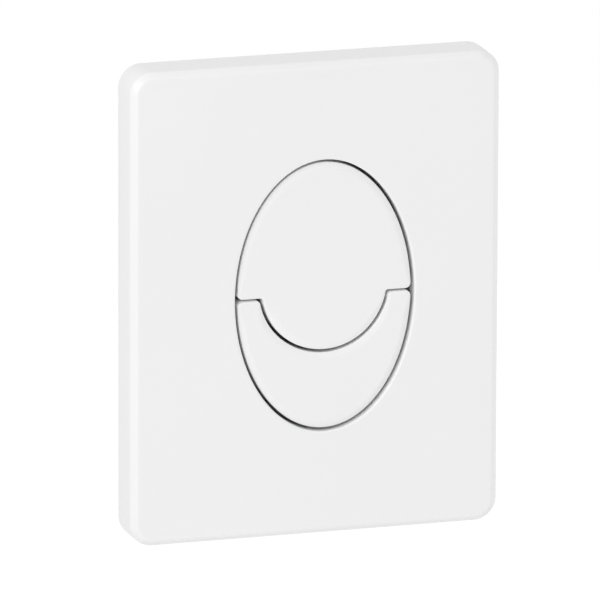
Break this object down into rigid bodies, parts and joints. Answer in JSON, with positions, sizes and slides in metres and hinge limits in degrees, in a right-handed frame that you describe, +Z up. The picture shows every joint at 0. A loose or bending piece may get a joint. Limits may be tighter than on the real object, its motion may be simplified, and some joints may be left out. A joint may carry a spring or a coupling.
{
  "type": "flush button plate",
  "caption": "White rectangular wall plate with an oval opening holding a large flush button with a round tongue and a smaller crescent flush button, each working an air pump behind.",
  "frame": {"origin": "middle of the plate on the wall plane, where the mounting frame's rear face lies", "axes": "+X to the right as seen from the room, +Y into the wall, +Z up"},
  "size_m": [0.156, 0.066, 0.197],
  "materials": {
    "white_plastic": "gloss",
    "grey_plastic": "matte",
    "rubber": "matte",
    "steel": "brushed"
  },
  "bodies": {
    "plate": {"cover_plate": "white_plastic", "button_tray": "grey_plastic", "tray_screw_bottom_left": "steel", "tray_screw_top_left": "steel", "tray_screw_bottom_right": "steel", "tray_screw_top_right": "steel", "full_flush_hinge_pin": "steel", "half_flush_hinge_pin_left": "steel", "half_flush_hinge_pin_right": "steel", "full_flush_pump_cup": "grey_plastic", "half_flush_pump_cup": "grey_plastic", "full_flush_bellows": "rubber", "half_flush_bellows": "rubber", "mounting_frame": "grey_plastic", "fixing_stud_left": "steel", "fixing_stud_right": "steel", "stud_nut_left": "grey_plastic", "stud_nut_right": "grey_plastic"},
    "full_button": {"full_flush_button": "white_plastic", "full_flush_buffer_left": "rubber", "full_flush_buffer_right": "rubber"},
    "half_button": {"half_flush_button": "white_plastic", "half_flush_buffer": "rubber"}
  },
  "joints": [
    {"name": "full_flush_press", "type": "hinge", "parent": "plate", "child": "full_button", "pos_m": [0.0038, -0.007, 0.0472], "axis": [1, 0, 0], "range_deg": [0, 5], "stiffness_Nm_per_rad": 2, "springref_deg": -1.72, "deforming": ["full_flush_bellows"]},
    {"name": "half_flush_press", "type": "hinge", "parent": "plate", "child": "half_button", "pos_m": [0.0038, -0.0055, -0.0038], "axis": [1, 0, 0], "range_deg": [0, 6.1], "stiffness_Nm_per_rad": 2, "springref_deg": -1.72, "deforming": ["half_flush_bellows"]}
  ]
}
